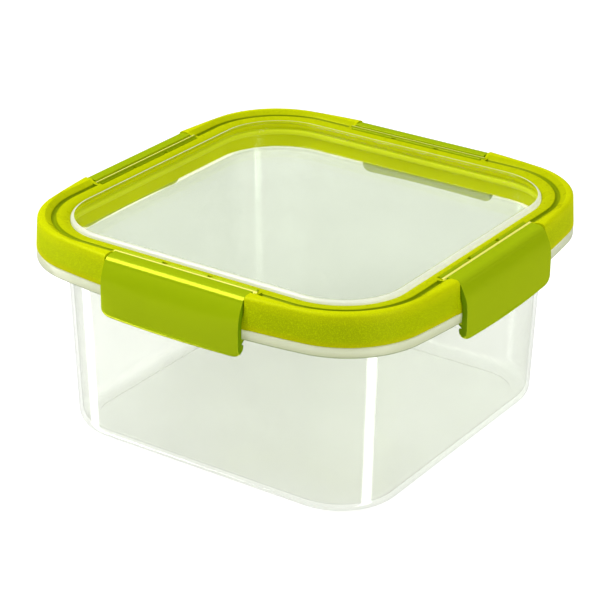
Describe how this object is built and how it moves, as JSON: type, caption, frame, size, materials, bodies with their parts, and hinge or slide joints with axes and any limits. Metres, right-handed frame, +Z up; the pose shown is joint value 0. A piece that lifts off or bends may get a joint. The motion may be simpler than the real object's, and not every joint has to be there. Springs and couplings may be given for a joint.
{
  "type": "snap lid food container",
  "caption": "Square translucent food container with a recessed clear lid, a frosted green band, a sealing ring and a hinged snap clip on each side.",
  "frame": {"origin": "middle of the base, in the plane the foot ring stands on", "axes": "+Z up, -Y towards the front clip, +X towards the right clip"},
  "size_m": [0.1614, 0.1614, 0.0775],
  "materials": {
    "clear_tub": "translucent natural polypropylene, smooth outside, faintly cloudy",
    "clear_window": "clear polypropylene, polished",
    "frosted_green": "yellow-green, fine spark-eroded texture on the outer band, smooth ridge",
    "soft_seal": "soft matt elastomer",
    "glossy_green": "yellow-green, semi-gloss moulded"
  },
  "bodies": {
    "tub": {"tub": "clear_tub"},
    "lid": {"lid_panel": "clear_window", "lid_frame": "frosted_green", "seal_ring": "soft_seal"},
    "clip_front": {"clip_front": "glossy_green"},
    "clip_right": {"clip_right": "glossy_green"},
    "clip_back": {"clip_back": "glossy_green"},
    "clip_left": {"clip_left": "glossy_green"}
  },
  "joints": [
    {"name": "lid_lift", "type": "slide", "parent": "tub", "child": "lid", "axis": [0, 0, 1], "range_m": [0, 0.1]},
    {"name": "clip_front_hinge", "type": "hinge", "parent": "lid", "child": "clip_front", "pos_m": [0, -0.0702, 0.0759], "axis": [-1, 0, 0], "range_deg": [0, 115]},
    {"name": "clip_right_hinge", "type": "hinge", "parent": "lid", "child": "clip_right", "pos_m": [0.0702, 0, 0.0759], "axis": [0, -1, 0], "range_deg": [0, 115]},
    {"name": "clip_back_hinge", "type": "hinge", "parent": "lid", "child": "clip_back", "pos_m": [0, 0.0702, 0.0759], "axis": [1, 0, 0], "range_deg": [0, 115]},
    {"name": "clip_left_hinge", "type": "hinge", "parent": "lid", "child": "clip_left", "pos_m": [-0.0702, 0, 0.0759], "axis": [0, 1, 0], "range_deg": [0, 115]}
  ]
}
